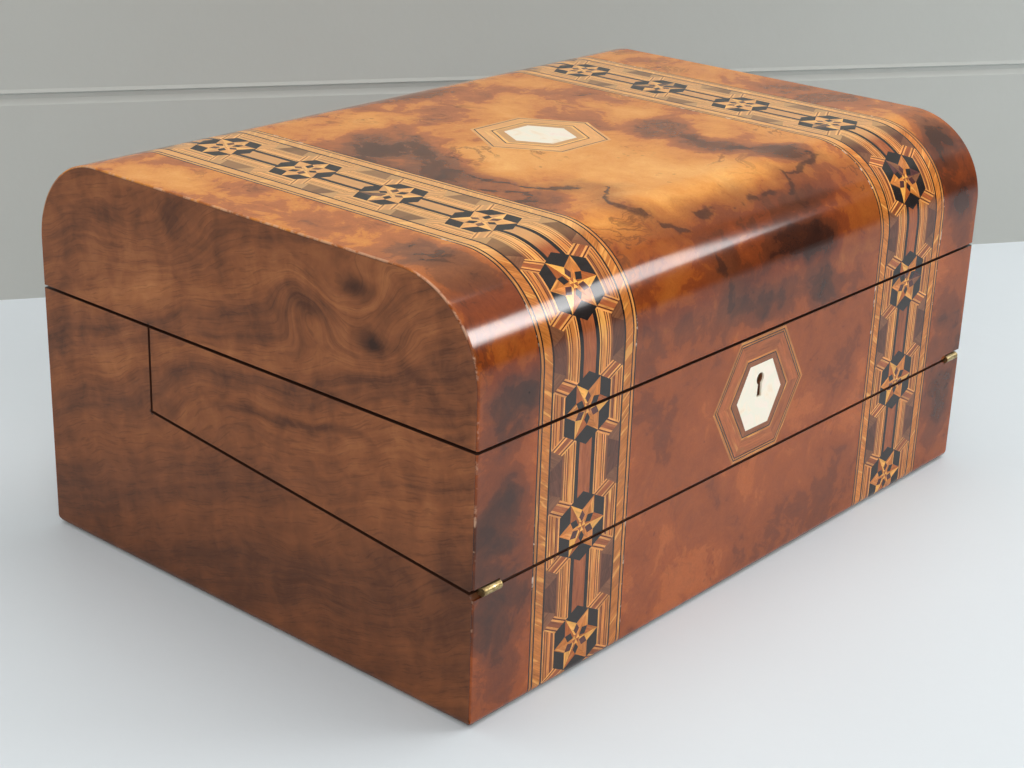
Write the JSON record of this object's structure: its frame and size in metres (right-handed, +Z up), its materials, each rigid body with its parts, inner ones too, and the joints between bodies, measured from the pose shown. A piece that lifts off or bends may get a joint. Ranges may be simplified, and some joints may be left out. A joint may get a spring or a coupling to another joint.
{
  "type": "writing box",
  "caption": "Domed walnut writing box with parquetry bands, pearl plaques, a hinged lid and a fold-out writing slope over storage, pen tray and inkwells.",
  "frame": {"origin": "middle of the underside", "axes": "+Z up, +X to the right along the longest side, the front with the keyhole faces -Y"},
  "size_m": [0.355, 0.254, 0.172],
  "materials": {
    "burr_walnut": "glossy French polish",
    "figured_walnut": "worn satin polish",
    "carcass_wood": "plain, unpolished",
    "parquetry": "glossy French polish",
    "mother_of_pearl": "polished shell, pearly",
    "brass": "aged, lightly tarnished",
    "writing_skin": "tooled leather, soft sheen",
    "lining": "watered silk over paper",
    "ink_glass": "clear pressed glass"
  },
  "bodies": {
    "box_base": {"base_left_end": "figured_walnut", "base_right_end": "figured_walnut", "base_front_board": "carcass_wood", "base_rear_board": "carcass_wood", "base_bottom_board": "carcass_wood", "riser_board": "figured_walnut", "base_front_veneer": "burr_walnut", "base_front_bands": "parquetry", "base_rear_veneer": "figured_walnut", "base_flap_ledges": "carcass_wood", "compartment_floor": "carcass_wood", "bay_dividers": "figured_walnut", "compartment_packing": "carcass_wood", "letter_rack_front": "figured_walnut", "letter_rack_middle": "figured_walnut", "letter_rack_rear": "figured_walnut", "fold_hinge_base_leaves": "brass", "fold_hinge_pins": "brass", "lid_hinge_base_leaves": "brass", "lid_hinge_pins": "brass", "base_hinge_screws": "brass"},
    "slope_wedge": {"wedge_left_end": "figured_walnut", "wedge_right_end": "figured_walnut", "wedge_front_board": "carcass_wood", "wedge_rear_board": "carcass_wood", "wedge_top_board": "figured_walnut", "wedge_front_veneer": "burr_walnut", "wedge_front_bands": "parquetry", "escutcheon_frame": "parquetry", "escutcheon_pearl": "mother_of_pearl", "wedge_flap_ledges": "carcass_wood", "lock_case": "brass", "fold_hinge_wedge_leaves": "brass", "wedge_hinge_screws": "brass"},
    "lid": {"lid_left_end": "figured_walnut", "lid_right_end": "figured_walnut", "lid_front_board": "carcass_wood", "lid_top_board": "carcass_wood", "lid_rear_board": "carcass_wood", "lid_veneer": "burr_walnut", "lid_bands": "parquetry", "plaque_frame": "parquetry", "plaque_pearl": "mother_of_pearl", "lid_lining": "lining", "link_plate": "brass", "lid_hinge_lid_leaves": "brass", "lid_hinge_screws": "brass"},
    "lower_flap": {"lower_flap_board": "carcass_wood", "lower_flap_skin": "writing_skin"},
    "upper_flap": {"upper_flap_board": "carcass_wood", "upper_flap_skin": "writing_skin"},
    "lock_bolt": {"lock_bolt": "brass"},
    "pen_tray": {"pen_tray": "figured_walnut"},
    "left_inkwell": {"left_inkwell_glass": "ink_glass", "left_inkwell_collar": "brass"},
    "left_cap": {"left_inkwell_cap": "brass"},
    "right_inkwell": {"right_inkwell_glass": "ink_glass", "right_inkwell_collar": "brass"},
    "right_cap": {"right_inkwell_cap": "brass"}
  },
  "joints": [
    {"name": "lid_hinge", "type": "hinge", "parent": "box_base", "child": "lid", "pos_m": [0, 0.125, 0.112], "axis": [-1, 0, 0], "range_deg": [0, 100]},
    {"name": "slope_fold", "type": "hinge", "parent": "box_base", "child": "slope_wedge", "pos_m": [0, -0.125, 0.056], "axis": [1, 0, 0], "range_deg": [0, 180]},
    {"name": "lower_flap_hinge", "type": "hinge", "parent": "box_base", "child": "lower_flap", "pos_m": [0, -0.1154, 0.05628], "axis": [1, 0, 0], "range_deg": [0, 85]},
    {"name": "upper_flap_hinge", "type": "hinge", "parent": "slope_wedge", "child": "upper_flap", "pos_m": [0, -0.1154, 0.05769], "axis": [-1, 0, 0], "range_deg": [0, 85]},
    {"name": "lock_bolt_slide", "type": "slide", "parent": "slope_wedge", "child": "lock_bolt", "axis": [1, 0, 0], "range_m": [0, 0.0035]},
    {"name": "pen_tray_lift", "type": "slide", "parent": "box_base", "child": "pen_tray", "axis": [0, 0, 1], "range_m": [0, 0.045]},
    {"name": "left_inkwell_lift", "type": "slide", "parent": "box_base", "child": "left_inkwell", "axis": [0, 0, 1], "range_m": [0, 0.04]},
    {"name": "left_cap_hinge", "type": "hinge", "parent": "left_inkwell", "child": "left_cap", "pos_m": [-0.1455, 0.10175, 0.0988], "axis": [-1, 0, 0], "range_deg": [0, 90]},
    {"name": "right_inkwell_lift", "type": "slide", "parent": "box_base", "child": "right_inkwell", "axis": [0, 0, 1], "range_m": [0, 0.04]},
    {"name": "right_cap_hinge", "type": "hinge", "parent": "right_inkwell", "child": "right_cap", "pos_m": [0.1455, 0.10175, 0.0988], "axis": [-1, 0, 0], "range_deg": [0, 90]}
  ],
  "couplings": [
    {"joint": "slope_fold", "follows": "lid_hinge", "ratio": 0.36},
    {"joint": "lower_flap_hinge", "follows": "lid_hinge", "ratio": 0.12},
    {"joint": "upper_flap_hinge", "follows": "lid_hinge", "ratio": 0.12}
  ]
}
